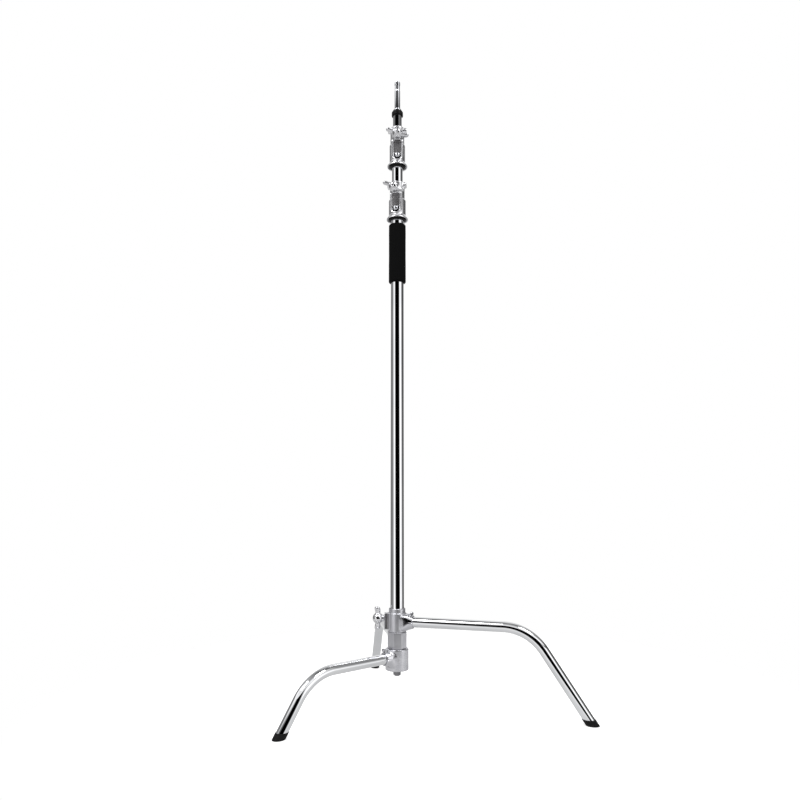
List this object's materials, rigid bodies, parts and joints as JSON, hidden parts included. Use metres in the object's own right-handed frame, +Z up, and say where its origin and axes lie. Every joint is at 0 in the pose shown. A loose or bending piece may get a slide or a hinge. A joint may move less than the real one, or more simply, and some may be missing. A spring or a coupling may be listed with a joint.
{
  "type": "c stand",
  "caption": "Century stand with a nesting folding turtle base, a sliding high leg, telescoping chrome risers, T-handle clamp collars, a foam grip and a baby pin.",
  "frame": {"origin": "on the floor, under the middle of the stand's bounding box at rest; the column axis stands at X = -0.0977 m, Y = -0.0977 m", "axes": "+Z up along the column; +X to the right of the T-handles' side and -Y towards the viewer of the upper T-handle; the high leg points near +X"},
  "size_m": [0.7334, 0.6602, 1.691],
  "materials": {
    "chrome": "bright chrome plate on steel tube",
    "cast_alloy": "satin silver finish on cast alloy",
    "polished_casting": "tumble-polished cast alloy",
    "steel": "zinc-plated steel",
    "black_plastic": "moulded black plastic",
    "pad_plastic": "dark grey moulded plastic",
    "rubber": "black moulded rubber",
    "foam": "black closed-cell foam, fine matt skin"
  },
  "bodies": {
    "base": {"low_casting": "cast_alloy", "low_leg": "chrome", "low_foot": "rubber", "low_clamp_bolt": "steel", "low_clamp_nut": "steel", "column_tube": "chrome", "column_plug": "steel", "base_bolt": "steel", "base_washer": "steel", "foam_grip": "foam", "lower_collar": "polished_casting", "lower_collar_ring": "black_plastic", "lower_collar_bolt": "steel"},
    "mid_leg_body": {"mid_casting": "cast_alloy", "mid_leg": "chrome", "mid_foot": "rubber", "mid_clamp_bolt": "steel", "mid_clamp_nut": "steel"},
    "high_slider": {"high_bush": "black_plastic"},
    "high_leg_body": {"high_casting": "cast_alloy", "high_leg": "chrome", "high_foot": "rubber", "high_clamp_bolt": "steel", "high_clamp_nut": "steel"},
    "high_pad": {"high_brake_pad": "pad_plastic"},
    "high_handle": {"high_t_handle": "polished_casting", "high_screw": "steel"},
    "lower_pad": {"lower_brake_pad": "pad_plastic"},
    "lower_handle": {"lower_t_handle": "polished_casting", "lower_screw": "steel"},
    "riser_1_glide": {"riser_1_bush": "black_plastic"},
    "riser_1": {"riser_1_tube": "chrome", "upper_collar": "polished_casting", "upper_collar_ring": "black_plastic", "upper_collar_bolt": "steel"},
    "upper_pad": {"upper_brake_pad": "pad_plastic"},
    "upper_handle": {"upper_t_handle": "polished_casting", "upper_screw": "steel"},
    "riser_2_glide": {"riser_2_bush": "black_plastic"},
    "riser_2": {"riser_2_tube": "chrome", "top_cap": "black_plastic", "baby_pin": "steel"}
  },
  "joints": [
    {"name": "mid_leg_fold", "type": "hinge", "parent": "base", "child": "mid_leg_body", "pos_m": [-0.09772, -0.09769, 0.165], "axis": [0, 0, 1], "range_deg": [0, 120]},
    {"name": "high_leg_slide", "type": "slide", "parent": "base", "child": "high_slider", "axis": [0, 0, 1], "range_m": [0, 0.85]},
    {"name": "high_leg_fold", "type": "hinge", "parent": "high_slider", "child": "high_leg_body", "pos_m": [-0.09772, -0.09769, 0.208], "axis": [0, 0, 1], "range_deg": [-123.4, 0]},
    {"name": "riser_1_slide", "type": "slide", "parent": "base", "child": "riser_1_glide", "axis": [0, 0, 1], "range_m": [0, 0.8]},
    {"name": "riser_1_spin", "type": "hinge", "parent": "riser_1_glide", "child": "riser_1", "pos_m": [-0.09772, -0.09769, 1.4], "axis": [0, 0, 1], "continuous": true},
    {"name": "riser_2_slide", "type": "slide", "parent": "riser_1", "child": "riser_2_glide", "axis": [0, 0, 1], "range_m": [0, 0.8]},
    {"name": "riser_2_spin", "type": "hinge", "parent": "riser_2_glide", "child": "riser_2", "pos_m": [-0.09772, -0.09769, 1.57], "axis": [0, 0, 1], "continuous": true},
    {"name": "high_pad_slide", "type": "slide", "parent": "high_leg_body", "child": "high_pad", "axis": [-1, 0, 0], "range_m": [0, 0.00226]},
    {"name": "high_handle_turn", "type": "hinge", "parent": "high_pad", "child": "high_handle", "pos_m": [-0.13772, -0.09769, 0.2165], "axis": [-1, 0, 0], "range_deg": [0, 540]},
    {"name": "lower_pad_slide", "type": "slide", "parent": "base", "child": "lower_pad", "axis": [-0.2011, -0.9796, 0], "range_m": [0, 0.00226]},
    {"name": "lower_handle_turn", "type": "hinge", "parent": "lower_pad", "child": "lower_handle", "pos_m": [-0.10576, -0.13687, 1.353], "axis": [-0.2011, -0.9796, 0], "range_deg": [0, 540]},
    {"name": "upper_pad_slide", "type": "slide", "parent": "riser_1", "child": "upper_pad", "axis": [0, -1, 0], "range_m": [0, 0.00226]},
    {"name": "upper_handle_turn", "type": "hinge", "parent": "upper_pad", "child": "upper_handle", "pos_m": [-0.09772, -0.13769, 1.509], "axis": [0, -1, 0], "range_deg": [0, 540]}
  ],
  "couplings": [
    {"joint": "high_pad_slide", "follows": "high_handle_turn", "m_per_rad": 0.00023873},
    {"joint": "lower_pad_slide", "follows": "lower_handle_turn", "m_per_rad": 0.00023873},
    {"joint": "upper_pad_slide", "follows": "upper_handle_turn", "m_per_rad": 0.00023873}
  ]
}
